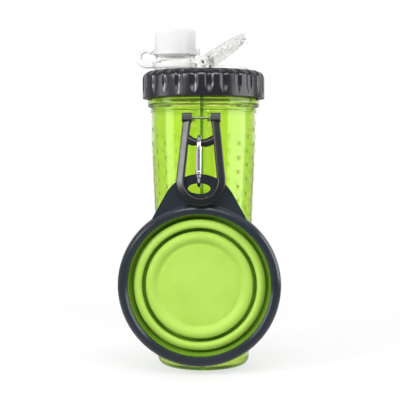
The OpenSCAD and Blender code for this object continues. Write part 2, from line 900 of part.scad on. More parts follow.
module rim_section() {
    mid_r = (rim_r + rim_in_r) / 2;
    polygon([
        [rim_in_r, -rim_front + 1.6], [rim_in_r + 1.6, -rim_front + 0.2], [mid_r, -rim_front],
        [mid_r + 1.4, -rim_front + 0.4], [rim_r - 0.7, -rim_front + 2.2], [rim_r, -0.8],
        [rim_r - 0.3, 1.2], [rim_r - 1.4, 2.8], [mid_r + 0.8, rim_back], [rim_in_r + 1, rim_back],
        [rim_in_r, rim_back - 1]
    ]);
}

module cup_rim() {
    color([0.2, 0.22, 0.26])
        at_bowl()
            difference() {
                union() {
                    rotate_extrude() rim_section();
                    translate([0, 0, -tab_t / 2])
                        linear_extrude(tab_t)
                            difference() {
                                tab_outline();
                                circle(rim_in_r + 1);
                                translate([0, -hole_top + tab_hole_h / 2])
                                    scale([1, tab_hole_h / tab_hole_w])
                                        circle(d = tab_hole_w);
                            }
                }
                translate([0, 0, rim_back - clamp_t])
                    cylinder(r = rim_in_r + clamp_w, h = clamp_t + cut);
            }
}

module rim_clamp_ring() {
    color([0.2, 0.22, 0.26])
        at_bowl()
            translate([0, 0, rim_back - clamp_t + face_gap])
                difference() {
                    cylinder(r = rim_in_r + clamp_w - 0.05, h = clamp_t);
                    translate([0, 0, -cut]) cylinder(r = rim_in_r + 0.05, h = clamp_t + 2 * cut);
                }
}

module bowl_outer_fold() {
    out = rim_in_r - face_gap;
    lean = 1.2;
    top = skirt_u + fold_gap;
    deep = fold_depth - silicone_t;
    color([0.42, 0.68, 0.12])
        at_bowl()
            rotate_extrude()
                polygon([
                    [out, 0], [out, rim_back], [out - lean, fold_depth - fold_round],
                    [out - lean - fold_round, fold_depth],
                    [band_out_r - silicone_t + fold_round, fold_depth],
                    [band_out_r - silicone_t, fold_depth - fold_round],
                    [band_out_r - silicone_t, top], [band_out_r, top], [band_out_r, deep],
                    [out - lean - silicone_t - fold_round, deep],
                    [out - lean - silicone_t, deep - fold_round], [out - silicone_t, rim_back],
                    [out - silicone_t, 0]
                ]);
}

function ridge_arc(r, round, from) =
    [for (a = half_turn(6, from, from + 90)) [r + round * cos(a), ridge_u + ridge_round + round * sin(a)]];

function reversed(points) = [for (i = [len(points) - 1:-1:0]) points[i]];

module ridge(inner, outer) {
    inside = ridge_round - silicone_t;
    polygon(concat(
        ridge_arc(inner + ridge_round, ridge_round, 180),
        ridge_arc(outer - ridge_round, ridge_round, 270),
        [[outer, skirt_u], [outer - silicone_t, skirt_u]],
        reversed(ridge_arc(outer - ridge_round, inside, 270)),
        reversed(ridge_arc(inner + ridge_round, inside, 180)),
        [[inner + silicone_t, skirt_u], [inner, skirt_u]]
    ));
}

module bowl_middle_band() {
    color([0.76, 0.93, 0.42])
        at_bowl()
            rotate_extrude()
                ridge(band_in_r, band_out_r);
}

module bowl_inner_fold() {
    outer = band_in_r + silicone_t;
    inner = inner_ridge_r - silicone_t;
    top = skirt_u + fold_gap;
    color([0.34, 0.58, 0.08])
        at_bowl()
            rotate_extrude()
                polygon([
                    [outer, top], [outer, fold_depth - fold_round], [outer - fold_round, fold_depth],
                    [inner + fold_round, fold_depth], [inner, fold_depth - fold_round], [inner, top],
                    [inner_ridge_r, top], [inner_ridge_r, fold_depth - silicone_t],
                    [band_in_r, fold_depth - silicone_t], [band_in_r, top]
                ]);
}

module bowl_floor() {
    color([0.72, 0.9, 0.38])
        at_bowl()
            union() {
                rotate_extrude()
                    ridge(floor_r, inner_ridge_r);
                translate([0, 0, floor_u])
                    cylinder(r = floor_r + silicone_t / 2, h = silicone_t);
            }
}

bottle_shell();
loop_hinge_pin();
lid_insert();
lid_gasket();
divider_seal();
collar();
tether_neck_ring();
tether_strap();
tether_cap_ring();
spout_cap();
cap_liner();
hatch_door();
hatch_seal();
hatch_hinge_pin();
carry_loop();
carabiner_body();
carabiner_gate();
gate_rivet();
gate_spring();
cup_rim();
rim_clamp_ring();
bowl_outer_fold();
bowl_middle_band();
bowl_inner_fold();
bowl_floor();
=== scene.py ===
# Looks of the dog travel water bottle: materials, soft parts, threads, grip nubs, light and camera.
# Metres, in the CAD model's frame: origin at the middle of the foot, +Z up, bowl on the -Y side.
# The places and sizes of the pieces are written in millimetres, and add_mesh turns them into metres.
# Floor, lamps and camera are in metres.
import math
import bmesh
import bpy
from mathutils import Matrix, Vector


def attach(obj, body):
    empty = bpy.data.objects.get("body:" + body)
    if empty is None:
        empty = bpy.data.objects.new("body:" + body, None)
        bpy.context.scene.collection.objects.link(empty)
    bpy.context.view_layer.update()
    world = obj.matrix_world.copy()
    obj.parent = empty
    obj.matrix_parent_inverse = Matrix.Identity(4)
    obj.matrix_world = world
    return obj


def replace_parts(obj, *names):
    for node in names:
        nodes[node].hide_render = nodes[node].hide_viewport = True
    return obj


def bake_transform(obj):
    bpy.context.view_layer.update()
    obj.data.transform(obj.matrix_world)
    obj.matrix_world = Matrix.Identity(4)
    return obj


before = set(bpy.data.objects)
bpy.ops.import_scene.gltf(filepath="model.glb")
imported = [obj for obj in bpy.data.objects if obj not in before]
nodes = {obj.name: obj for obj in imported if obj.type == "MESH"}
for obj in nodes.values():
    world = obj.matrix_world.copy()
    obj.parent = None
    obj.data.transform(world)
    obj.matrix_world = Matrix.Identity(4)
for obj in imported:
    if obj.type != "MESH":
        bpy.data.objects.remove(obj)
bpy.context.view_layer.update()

MM = 0.001
TAU = 2 * math.pi
CORNER_STEPS = 4

# Places and sizes that the CAD model sets
BODY_TOP_R = 38.9
BODY_BASE_R = 34.4
BODY_STRAIGHT_Z = 165.3
BODY_FOOT_R = 5.0
NECK_R = 39.6
COLLAR_IN_R = 42.4
SPOUT_X = -21.2
SPOUT_R = 12.4
SPOUT_FOOT_R = 15.0
CAP_IN_R = 13.5
HANG_X = -1.3
BAR_Y = -49.434
BOWL_Z = 65.139
STRAP_X = -43.0
STRAP_Z = 230.65
STRAP_R = 5.7
HATCH_Z = 226.0
HATCH_OPEN = math.radians(34.3)


# Mesh helpers

def add_mesh(name, verts, faces, body, material, smooth=True):
    """A closed mesh piece from points in millimetres."""
    mesh = bpy.data.meshes.new(name)
    mesh.from_pydata([(x * MM, y * MM, z * MM) for x, y, z in verts], [], faces)
    mesh.validate()
    work = bmesh.new()
    work.from_mesh(mesh)
    bmesh.ops.remove_doubles(work, verts=work.verts, dist=1e-7)
    # Every face points outwards; the first step can leave a thread's coil inside out
    bmesh.ops.recalc_face_normals(work, faces=work.faces)
    if work.calc_volume(signed=True) < 0:
        bmesh.ops.reverse_faces(work, faces=work.faces)
    work.to_mesh(mesh)
    work.free()
    mesh.update()
    mesh.polygons.foreach_set("use_smooth", [smooth] * len(mesh.polygons))
    obj = bpy.data.objects.new(name, mesh)
    bpy.context.scene.collection.objects.link(obj)
    mesh.materials.append(material)
    if body:
        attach(obj, body)
    return obj


def side_faces(rings, around, first=0, closed=False):
    """Four-sided faces between rings of points; closed joins the last ring to the first."""
    faces = []
    for i in range(rings if closed else rings - 1):
        k = (i + 1) % rings
        for j in range(around):
            m = (j + 1) % around
            faces.append((first + i * around + j, first + k * around + j,
                          first + k * around + m, first + i * around + m))
    return faces


def end_faces(rings, around, first=0):
    """The faces that close the first and the last ring."""
    last = first + (rings - 1) * around
    return [tuple(range(first, first + around))[::-1], tuple(range(last, last + around))]


def curve_point(p0, p1, p2, p3, t):
    """Point between p1 and p2 of the smooth curve through all four; t runs from 0 to 1."""
    return 0.5 * ((2 * p1) + (p2 - p0) * t + (2 * p0 - 5 * p1 + 4 * p2 - p3) * t * t
                  + (3 * p1 - p0 - 3 * p2 + p3) * t ** 3)


def spline_loop(points, steps):
    """Closed curve through the points."""
    count = len(points)
    out = []
    for i in range(count):
        four = [Vector(points[(i + k - 1) % count]) for k in range(4)]
        out += [curve_point(*four, j / steps) for j in range(steps)]
    return out


def open_spline(points, steps):
    """Curve through the points, from the first to the last."""
    places = [Vector(p) for p in (points[0], *points, points[-1])]
    out = []
    for four in zip(places, places[1:], places[2:], places[3:]):
        out += [curve_point(*four, j / steps) for j in range(steps)]
    return out + [places[-1]]


def rounded(points, radius, steps=CORNER_STEPS):
    """Closed polygon with each corner rounded, by at most the radius given and just under half a side."""
    side_parts = 2.2
    count = len(points)
    out = []
    for i in range(count):
        before, corner, after = (Vector(points[(i + k - 1) % count]) for k in range(3))
        back, ahead = before - corner, after - corner
        reach = min(radius, back.length / side_parts, ahead.length / side_parts)
        start, end = corner + back.normalized() * reach, corner + ahead.normalized() * reach
        for j in range(steps + 1):
            t = j / steps
            out.append(start * (1 - t) ** 2 + corner * 2 * t * (1 - t) + end * t * t)
    return out


def rounded_box(left, right, low, high, radius):
    return rounded([(left, low), (right, low), (right, high), (left, high)], radius)


def circle_part(radius, start, end, steps):
    """Points on a circle, from one angle in degrees to another."""
    angles = [math.radians(start + (end - start) * i / steps) for i in range(steps + 1)]
    return [(radius * math.cos(a), radius * math.sin(a)) for a in angles]


def lathe(name, profile, body, material, place, segments=160):
    """Turns a closed (radius, height) profile about an axis; place maps each point to the shared frame."""
    verts = []
    for i in range(segments):
        a = TAU * i / segments
        verts += [place((r * math.cos(a), r * math.sin(a), h)) for r, h in profile]
    return add_mesh(name, verts, side_faces(segments, len(profile), closed=True), body, material)


def sweep(name, path, directions, profile, body, material):
    """Sweeps a closed (a, b) profile along a path; directions gives the two unit vectors at each point."""
    verts = []
    for p, (u, v) in zip(path, directions):
        verts += [tuple(Vector(p) + Vector(u) * a + Vector(v) * b) for a, b in profile]
    size = (len(path), len(profile))
    return add_mesh(name, verts, side_faces(*size) + end_faces(*size), body, material)


def thread(name, body, material, radius, height, base, lead, start_z, turns, centre_x=0.0, start=0.0):
    """A screw thread on a cylinder; a negative height cuts inwards. Both ends fade into the wall."""
    turn_steps, fades_per_turn, root = 64, 5, 0.3
    steps = int(turn_steps * turns)
    sunk = -root if height > 0 else root
    verts = []
    for i in range(steps + 1):
        t = i / steps
        a = start + TAU * turns * t
        fade = min(1.0, t * turns * fades_per_turn, (1 - t) * turns * fades_per_turn)
        z = start_z + lead * turns * t
        crest = sunk + (height - sunk) * fade
        for rise, dz in ((sunk, -base / 2), (crest, -base / 5), (crest, base / 5), (sunk, base / 2)):
            r = radius + rise
            verts.append((centre_x + r * math.cos(a), r * math.sin(a), z + dz))
    faces = side_faces(steps + 1, 4) + end_faces(steps + 1, 4)
    return add_mesh(name, verts, faces, body, material, smooth=False)


# Places on the bottle

def body_radius(z):
    if z >= BODY_STRAIGHT_Z:
        return BODY_TOP_R
    t = max(0.0, (z - BODY_FOOT_R) / (BODY_STRAIGHT_Z - BODY_FOOT_R))
    return BODY_BASE_R + (BODY_TOP_R - BODY_BASE_R) * t * t


def at_origin(p):
    return p


def at_spout(p):
    return (p[0] + SPOUT_X, p[1], p[2])


def at_bowl(p):
    """The third number runs back, towards the bottle."""
    return (HANG_X + p[0], BAR_Y + p[2], BOWL_Z - p[1])


def at_hatch(p):
    """The door's own frame, turned open about its hinge."""
    c, s = math.cos(HATCH_OPEN), math.sin(HATCH_OPEN)
    return (p[0] * c - p[2] * s, p[1], HATCH_Z + p[0] * s + p[2] * c)


# Materials

def new_material(name, **values):
    material = bpy.data.materials.new(name)
    material.use_nodes = True
    tree = material.node_tree
    shader = tree.nodes["Principled BSDF"]
    for key, value in values.items():
        shader.inputs[key.replace("_", " ")].default_value = value
    return material, tree, shader


def noise(tree, scale, detail=3.0, stretch=(1, 1, 1)):
    coords = tree.nodes.new("ShaderNodeTexCoord")
    mapping = tree.nodes.new("ShaderNodeMapping")
    mapping.inputs["Scale"].default_value = stretch
    texture = tree.nodes.new("ShaderNodeTexNoise")
    texture.inputs["Scale"].default_value = scale
    texture.inputs["Detail"].default_value = detail
    tree.links.new(coords.outputs["Object"], mapping.inputs["Vector"])
    tree.links.new(mapping.outputs["Vector"], texture.inputs["Vector"])
    return texture.outputs["Fac"]


def spread(tree, fac, low, high, out_low, out_high, kind="LINEAR"):
    """Maps low to out_low and high to out_high, and holds what lies beyond."""
    node = tree.nodes.new("ShaderNodeMapRange")
    node.interpolation_type = kind
    node.inputs["From Min"].default_value = low
    node.inputs["From Max"].default_value = high
    node.inputs["To Min"].default_value = out_low
    node.inputs["To Max"].default_value = out_high
    tree.links.new(fac, node.inputs["Value"])
    return node.outputs["Result"]


def colours(tree, fac, stops):
    node = tree.nodes.new("ShaderNodeValToRGB")
    for element, (position, colour) in zip(node.color_ramp.elements, stops):
        element.position = position
        element.color = (*colour, 1)
    tree.links.new(fac, node.inputs["Fac"])
    return node.outputs["Color"]


def bump(tree, shader, height, strength, distance):
    node = tree.nodes.new("ShaderNodeBump")
    node.inputs["Strength"].default_value = strength
    node.inputs["Distance"].default_value = distance
    tree.links.new(height, node.inputs["Height"])
    tree.links.new(node.outputs["Normal"], shader.inputs["Normal"])


def moulded(name, dark, light, rough_low, rough_high, grain=900.0, grain_depth=0.00002, **values):
    """Moulded plastic or silicone: faint mottling of colour, uneven gloss and a fine surface grain."""
    material, tree, shader = new_material(name, **values)
    mottle = colours(tree, noise(tree, scale=55.0, detail=4.0), ((0.3, dark), (0.7, light)))
    tree.links.new(mottle, shader.inputs["Base Color"])
    gloss = spread(tree, noise(tree, scale=130.0, detail=5.0), 0.3, 0.7, rough_low, rough_high)
    tree.links.new(gloss, shader.inputs["Roughness"])
    bump(tree, shader, noise(tree, grain, detail=2.0), strength=0.35, distance=grain_depth)
    return material


def metal(name, tone, rough_low, rough_high, stretch):
    """Drawn or plated metal, with streaks in its tone and gloss."""
    material, tree, shader = new_material(name, Metallic=1.0)
    streaks = noise(tree, 260.0, 3.0, stretch)
    shade = tuple(0.9 * c for c in tone)
    tree.links.new(colours(tree, streaks, ((0.25, shade), (0.75, tone))), shader.inputs["Base Color"])
    tree.links.new(spread(tree, streaks, 0.3, 0.7, rough_low, rough_high), shader.inputs["Roughness"])
    bump(tree, shader, streaks, strength=0.2, distance=0.00001)
    return material


def add_depth(material, colour, density):
    """Thick places of a clear plastic look deeper in colour."""
    tree = material.node_tree
    depth = tree.nodes.new("ShaderNodeVolumeAbsorption")
    depth.inputs["Color"].default_value = (*colour, 1)
    depth.inputs["Density"].default_value = density
    tree.links.new(depth.outputs["Volume"], tree.nodes["Material Output"].inputs["Volume"])


BODY_GRAIN = dict(grain=140.0, grain_depth=0.00006, Transmission_Weight=0.95)
green_body = moulded("green_body", (0.715, 0.905, 0.18), (0.76, 0.925, 0.225), 0.08, 0.14,
                     IOR=1.34, Coat_Weight=0.4, Coat_Roughness=0.09, **BODY_GRAIN)
add_depth(green_body, (0.90, 0.95, 0.78), 300.0)
nub_green = moulded("green_nubs", (0.88, 0.98, 0.50), (0.92, 0.99, 0.56), 0.10, 0.16,
                    IOR=1.14, **BODY_GRAIN)
clear_lid = moulded("clear_lid", (0.965, 0.974, 0.966), (0.982, 0.988, 0.98), 0.1, 0.14,
                    grain=60.0, grain_depth=0.00001, Transmission_Weight=1.0, IOR=1.32)
frosted = moulded("frosted_plastic", (0.962, 0.962, 0.968), (0.98, 0.98, 0.985), 0.4, 0.48,
                  Transmission_Weight=0.6, IOR=1.1)
strap_plastic = moulded("strap_plastic", (0.89, 0.89, 0.895), (0.92, 0.92, 0.925), 0.42, 0.5,
                        Transmission_Weight=0.3, IOR=1.15)
pale_silicone = moulded("pale_silicone", (0.965, 0.967, 0.95), (0.98, 0.98, 0.965), 0.25, 0.35,
                        Transmission_Weight=0.8, IOR=1.1)
charcoal = moulded("collar_plastic", (0.006, 0.006, 0.010), (0.009, 0.009, 0.014), 0.20, 0.25, IOR=1.55)
loop_black = moulded("loop_plastic", (0.003, 0.004, 0.005), (0.006, 0.007, 0.008), 0.27, 0.33, IOR=1.5)
slate = moulded("rim_plastic", (0.012, 0.019, 0.027), (0.017, 0.025, 0.035), 0.17, 0.23, IOR=1.5)
SILICONE_LOOK = dict(grain=1400.0, Subsurface_Weight=0.15, Subsurface_Scale=0.002,
                     Subsurface_Radius=(0.6, 1.0, 0.2), IOR=1.42)
silicone = moulded("green_silicone", (0.392, 0.628, 0.08), (0.443, 0.686, 0.104), 0.44, 0.54,
                   **SILICONE_LOOK)
# A darker copy of the green silicone for the fold walls and webs: painted shade in the bowl's deep grooves
fold_shade_silicone = moulded("green_silicone_fold_shade", (0.15, 0.31, 0.018), (0.18, 0.35, 0.024), 0.5, 0.6,
                        **SILICONE_LOOK)
chrome = metal("chromed_steel", (0.66, 0.64, 0.71), 0.06, 0.12, stretch=(1, 1, 0.2))
steel = metal("steel_pin", (0.27, 0.31, 0.20), 0.2, 0.3, stretch=(0.1, 1, 1))


def dress(obj, material):
    if not obj.material_slots:
        obj.data.materials.append(material)
    for slot in obj.material_slots:
        slot.material = material


for material, names in (
        (green_body, ("bottle_shell",)),
        (clear_lid, ("lid_insert", "hatch_door")),
        (charcoal, ("collar",)),
        (frosted, ("tether_neck_ring", "tether_strap", "tether_cap_ring", "spout_cap")),
        (loop_black, ("carry_loop",)),
        (chrome, ("carabiner_body", "carabiner_gate")),
        (steel, ("loop_hinge_pin", "hatch_hinge_pin", "gate_rivet", "gate_spring")),
        (slate, ("cup_rim", "rim_clamp_ring")),
        (pale_silicone, ("lid_gasket", "divider_seal", "cap_liner", "hatch_seal")),
        (silicone, ("bowl_outer_fold", "bowl_middle_band", "bowl_inner_fold", "bowl_floor"))):
    for name in names:
        dress(nodes[name], material)


# Grip nubs on the bottle's sides, in columns that are staggered by half a step

def grip_nubs():
    pitch_z, column_angle = 10.5, 15
    bare_front, bare_back = 25, 155
    high_from, high_to = 70, 110
    even_top, odd_top, lowest = 171.0, 165.75, 13
    sides, crown = 16, 0.48
    dome = ((1.65, -0.1), (1.56, 0.12), (1.36, 0.29), (1.0, 0.4), (0.5, 0.46))
    up = Vector((0, 0, 1))
    verts, faces = [], []
    for column in range(360 // column_angle):
        angle = column * column_angle
        from_front = min(angle, 360 - angle)
        if from_front < bare_front or from_front > bare_back:
            continue
        a = math.radians(angle - 90)
        out = Vector((math.cos(a), math.sin(a), 0))
        side = Vector((-math.sin(a), math.cos(a), 0))
        z = even_top if column % 2 == 0 else odd_top
        if high_from < from_front < high_to:
            z += pitch_z
        while z > lowest:
            centre = out * body_radius(z) + up * z
            first = len(verts)
            for flat, rise in dome:
                for j in range(sides):
                    b = TAU * j / sides
                    verts.append(tuple(centre + side * flat * math.cos(b) + up * flat * math.sin(b)
                                       + out * rise))
            verts.append(tuple(centre + out * crown))
            tip = len(verts) - 1
            faces += side_faces(len(dome), sides, first)
            faces += [(tip - sides + j, tip - sides + (j + 1) % sides, tip) for j in range(sides)]
            faces.append(tuple(range(first, first + sides))[::-1])
            z -= pitch_z
    add_mesh("grip_nubs", verts, faces, "bottle", nub_green)


grip_nubs()


# Screw threads

thread("neck_thread", "bottle", green_body,
       NECK_R, height=1.1, base=2.2, lead=6.0, start_z=201.6, turns=1.5)
thread("collar_thread", "collar", charcoal,
       COLLAR_IN_R, height=-1.2, base=2.2, lead=6.0, start_z=201.8, turns=1.4, start=math.pi)
thread("spout_thread", "lid", clear_lid,
       SPOUT_R, height=0.8, base=1.5, lead=4.0, start_z=233.6, turns=2.6, centre_x=SPOUT_X)
thread("cap_thread", "cap", frosted,
       CAP_IN_R, height=-0.8, base=1.4, lead=4.0, start_z=235.6, turns=2.3, centre_x=SPOUT_X, start=math.pi)
thread("spout_foot_ridge", "lid", clear_lid,
       SPOUT_FOOT_R, height=0.45, base=1.0, lead=9.0, start_z=226.2, turns=0.4, centre_x=SPOUT_X,
       start=math.radians(190))


# Screw collar: round flutes that rise from a pointed foot and fade out over the shoulder

def collar_outside(outer_r, low_z, top_z, flute_w):
    """Rows of radius, height, outward direction (two numbers) and flute half width, from the foot up."""
    tip_z, point_h, point_steps, point_power = 200.5, 8.2, 14, 1.8
    shoulder_r, shoulder_steps, fade_angle = 6.0, 10, 42
    turn_z = top_z - shoulder_r
    rows = [(outer_r - 0.5, low_z, 1, 0, 0.0),
            (outer_r - 0.12, low_z + 0.15, 1, 0, 0.0),
            (outer_r, low_z + 0.55, 1, 0, 0.0)]
    for i in range(point_steps + 1):
        t = i / point_steps
        rows.append((outer_r, tip_z + point_h * t, 1, 0, flute_w * (1 - (1 - t) ** point_power)))
    rows.append((outer_r, (tip_z + point_h + turn_z) / 2, 1, 0, flute_w))
    for i in range(shoulder_steps + 1):
        angle = 90 * i / shoulder_steps
        fade = min(1.0, (90 - angle) / fade_angle)
        width = flute_w * math.sqrt(max(0.0, 1 - (1 - fade) ** 2))
        c, s = math.cos(math.radians(angle)), math.sin(math.radians(angle))
        rows.append((outer_r - shoulder_r + shoulder_r * c, turn_z + shoulder_r * s, c, s, width))
    return rows


def collar_inside(low_z, top_z):
    """The hole in the top, the lid's seat with its snap ridge, and the bore for the neck."""
    hole_r, seat_z, ridge_r = 38.2, 216.55, 40.9
    profile = ((38.75, top_z), (38.35, 219.45), (hole_r, 219.05), (hole_r, seat_z),
               (COLLAR_IN_R, seat_z), (COLLAR_IN_R, 214.2), (ridge_r, 213.7), (ridge_r, 213.5),
               (COLLAR_IN_R, 213.1), (COLLAR_IN_R, 200.3), (42.9, low_z))
    return [(r, z, 0, 0, 0.0) for r, z in profile]


def collar_shell():
    flutes, flute_r, flute_w, least_w = 26, 5.0, 3.25, 0.02
    low_z, top_z = 199.3, 219.6
    across_flute = (-1.0, -0.94, -0.8, -0.55, -0.28, 0.0, 0.28, 0.55, 0.8, 0.94, 1.0)
    between_flutes = (0.05, 0.35, 0.65, 0.95)
    pitch = TAU / flutes
    outside = collar_outside(45.7, low_z, top_z, flute_w)
    rows = outside + collar_inside(low_z, top_z)
    verts = []
    for r, z, out_r, out_z, width in rows:
        half = max(width, least_w) / r
        deep = flute_r - math.sqrt(flute_r ** 2 - width ** 2)
        for k in range(flutes):
            centre = -math.pi / 2 + (k + 0.5) * pitch
            for t in across_flute:
                cut = max(0.0, deep - flute_r + math.sqrt(flute_r ** 2 - (width * t) ** 2))
                a = centre + half * t
                verts.append(((r - out_r * cut) * math.cos(a), (r - out_r * cut) * math.sin(a),
                              z - out_z * cut))
            for t in between_flutes:
                a = centre + half + (pitch - 2 * half) * t
                verts.append((r * math.cos(a), r * math.sin(a), z))
    around = flutes * (len(across_flute) + len(between_flutes))
    faces = side_faces(len(rows), around, closed=True)
    obj = add_mesh("collar_shell", verts, faces, "collar", charcoal)
    # The edges round the inside are sharp, but for those that round the rim of the hole
    first_sharp = len(outside) + 2
    for edge in obj.data.edges:
        row_a, row_b = (corner // around for corner in edge.vertices)
        if row_a == row_b and row_a >= first_sharp:
            edge.use_edge_sharp = True
    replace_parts(obj, "collar")


collar_shell()


# Carry loop: flat-faced arms that lean outwards, a flat crossbar and square knuckles.
# Its own frame has the pin as its origin and hangs straight down.

LOOP_PIN = Vector((0, -46.0, 183.7))
LOOP_TILT = Matrix.Rotation(math.radians(-11), 3, "X")
LOOP_END = Vector((0, 0, -45.7))
LOOP_END_R = 14.4
ARM_HALF = 2.93
ARM_TOP = Vector((10.04, 0, -1.6))
BAR_CENTRE = Vector((0, 0, -3.7))
BAR_CURVE_R = 14.3
BAR_REACH = 43
BAR_R = 2.57
KNUCKLE_FROM = 6.6
KNUCKLE_TO = 13.6
KNUCKLE_HALF = 3.15
PIN_BORE_R = 0.95


def in_loop(place):
    """A place of the loop's own frame in the shared frame."""
    return LOOP_PIN + LOOP_TILT @ place


def loop_section(place, out, section):
    """Puts the section's (outward, forward) points at a place of the loop's own frame."""
    return [in_loop(place + out * a + Vector((0, -b, 0))) for a, b in section]


def direction(angle):
    return Vector((math.cos(angle), 0, math.sin(angle)))


def arm_rings():
    """Both arms and the round end. The arms are the tangents from the knuckles to the round end."""
    arm_steps, end_steps = 8, 60
    front = rounded([(-ARM_HALF, 0.6), (-ARM_HALF, 2.0), (-1.9, 2.95), (2.5, 1.25), (ARM_HALF, 0.4)], 0.7)
    # The first and the last corner only close the outline, and their rounded points are left out
    corner = CORNER_STEPS + 1
    section = [(-ARM_HALF, 0.5)] + front[corner:-corner] + circle_part(ARM_HALF, 0, -180, 14)
    reach = Vector((ARM_TOP.x, 0, 0)) - LOOP_END
    touch = math.atan2(reach.z, reach.x) - math.acos(LOOP_END_R / reach.length)
    touch_point = LOOP_END + direction(touch) * LOOP_END_R
    right = [(ARM_TOP.lerp(touch_point, i / arm_steps), touch) for i in range(arm_steps)]
    turned = [touch - (math.pi + 2 * touch) * i / end_steps for i in range(end_steps + 1)]
    end = [(LOOP_END + direction(a) * LOOP_END_R, a) for a in turned]
    left = [(Vector((-p.x, 0, p.z)), math.pi - a) for p, a in reversed(right)]
    return [loop_section(p, direction(a), section) for p, a in right + end + left]


def bar_rings():
    """The crossbar: round where the hook turns on it, flat beside the hook."""
    bar_steps, round_half, change = 32, 2.4, 2.0
    flat_section = [(-y, x) for x, y in circle_part(BAR_R, 5, 175, 16)]
    flat_section += [(1.2, -2.5), (2.4, -2.3), (3.1, -1.7), (3.3, -0.9), (3.3, 1.2), (2.9, 1.95),
                     (1.6, 2.3), (0.7, 2.5)]
    rings = []
    for i in range(bar_steps + 1):
        out = direction(math.radians(270 - BAR_REACH + 2 * BAR_REACH * i / bar_steps))
        place = BAR_CENTRE + out * BAR_CURVE_R
        flat = min(1.0, max(0.0, (abs(place.x - HANG_X) - round_half) / change))
        section = [Vector(p).normalized() * BAR_R * (1 - flat) + Vector(p) * flat for p in flat_section]
        rings.append(loop_section(place, out, section))
    return rings


def knuckle_rings(side):
    """A square block with rounded corners and a round bore for the pin."""
    around, squareness, bevel, bevel_half = 48, 7, 0.3, 2.85
    rings = []
    for x, half in ((KNUCKLE_FROM, PIN_BORE_R), (KNUCKLE_FROM, bevel_half),
                    (KNUCKLE_FROM + bevel, KNUCKLE_HALF), (KNUCKLE_TO - bevel, KNUCKLE_HALF),
                    (KNUCKLE_TO, bevel_half), (KNUCKLE_TO, PIN_BORE_R), (KNUCKLE_FROM, PIN_BORE_R)):
        ring = []
        for j in range(around):
            c, s = math.cos(TAU * j / around), math.sin(TAU * j / around)
            square = (abs(c) ** squareness + abs(s) ** squareness) ** (-1 / squareness)
            size = half if half == PIN_BORE_R else half * square
            ring.append(in_loop(Vector((side * x, size * c, size * s))))
        rings.append(ring)
    return rings


def loop_shell():
    verts, faces = [], []
    for rings, capped in ((arm_rings(), True), (bar_rings(), True),
                          (knuckle_rings(-1), False), (knuckle_rings(1), False)):
        size = (len(rings), len(rings[0]), len(verts))
        for ring in rings:
            verts += [tuple(p) for p in ring]
        faces += side_faces(*size)
        if capped:
            faces += end_faces(*size)
    obj = add_mesh("loop_shell", verts, faces, "carry_loop", loop_black)
    obj.data.set_sharp_from_angle(angle=math.radians(32))
    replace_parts(obj, "carry_loop")


loop_shell()


# Folding bowl. Each profile is (radius, depth), and depth runs back towards the bottle.

RIM_IN = 50.75
BAND_OUT = 46.9
WALL_IN = 40.8
WALL_OUT = 42.15
FOLD_BACK = 7.6
BOWL_SEGMENTS = 192


# Fold pieces take the darker silicone by default, which paints the shade of the grooves
def bowl_ring(name, points, body, material=fold_shade_silicone):
    profile = spline_loop(points, 5)
    return lathe(name, profile, body, material, at_bowl, segments=BOWL_SEGMENTS)


def bowl_outer_wall():
    """The silicone's edge inside the rim; it keeps its shape."""
    points = [(RIM_IN, 0.1), (RIM_IN, 1.6), (RIM_IN, 3.6), (RIM_IN - 0.7, 6.0), (RIM_IN - 1.6, 7.2),
              (RIM_IN - 2.6, FOLD_BACK), (RIM_IN - 3.5, FOLD_BACK - 0.7), (RIM_IN - 2.9, 6.0),
              (RIM_IN - 1.9, 4.2), (RIM_IN - 1.0, 2.2), (RIM_IN - 0.4, 0.6), (RIM_IN - 0.15, 0.0)]
    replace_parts(bowl_ring("bowl_outer_wall", points, "cup"), "bowl_outer_fold")


def bowl_outer_web():
    """The fold between the rim and the middle band."""
    points = [(RIM_IN - 2.2, FOLD_BACK), (47.8, FOLD_BACK), (46.5, FOLD_BACK - 0.2),
              (45.6, FOLD_BACK - 1.2), (45.5, 4.6), (45.5, 2.4), (46.1, 1.9), (46.75, 2.2),
              (BAND_OUT, 3.4), (BAND_OUT, 5.0), (47.1, 5.9), (47.6, 6.25), (RIM_IN - 2.9, 6.3)]
    obj = bowl_ring("bowl_outer_web", points, None)
    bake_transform(obj)


def bowl_band():
    """The raised band between the two folds."""
    points = [(WALL_IN, 2.4), (40.82, 1.4), (41.2, 0.1), (42.1, -0.8), (43.2, -1.0), (44.4, -0.65),
              (45.5, 0.1), (46.4, 1.2), (46.85, 2.4), (BAND_OUT, 3.1), (46.3, 3.3), (45.7, 2.7),
              (45.0, 1.6), (43.9, 0.75), (43.2, 0.5), (42.5, 1.0), (WALL_OUT, 2.3), (41.4, 2.75)]
    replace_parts(bowl_ring("bowl_band", points, "bowl_middle", silicone), "bowl_middle_band")


def bowl_inner_wall():
    """The band's inner side, down to the back of the inner fold; it keeps its shape."""
    points = [(WALL_IN, 2.2), (WALL_IN, 4.2), (40.75, 5.8), (40.2, 6.4), (39.6, 6.5), (39.5, 7.2),
              (40.0, FOLD_BACK), (41.2, FOLD_BACK - 0.1), (42.1, FOLD_BACK - 0.9), (42.2, 4.6),
              (WALL_OUT, 2.3), (41.5, 1.9)]
    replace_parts(bowl_ring("bowl_inner_wall", points, "bowl_middle"), "bowl_inner_fold")


def bowl_inner_web():
    """The fold between the middle band and the floor."""
    points = [(39.9, FOLD_BACK), (38.0, FOLD_BACK - 0.05), (37.0, FOLD_BACK - 0.9), (36.85, 4.6),
              (36.9, 2.3), (37.5, 1.9), (38.15, 2.2), (38.2, 4.2), (38.25, 5.8), (38.8, 6.35), (39.7, 6.4)]
    obj = bowl_ring("bowl_inner_web", points, None)
    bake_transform(obj)


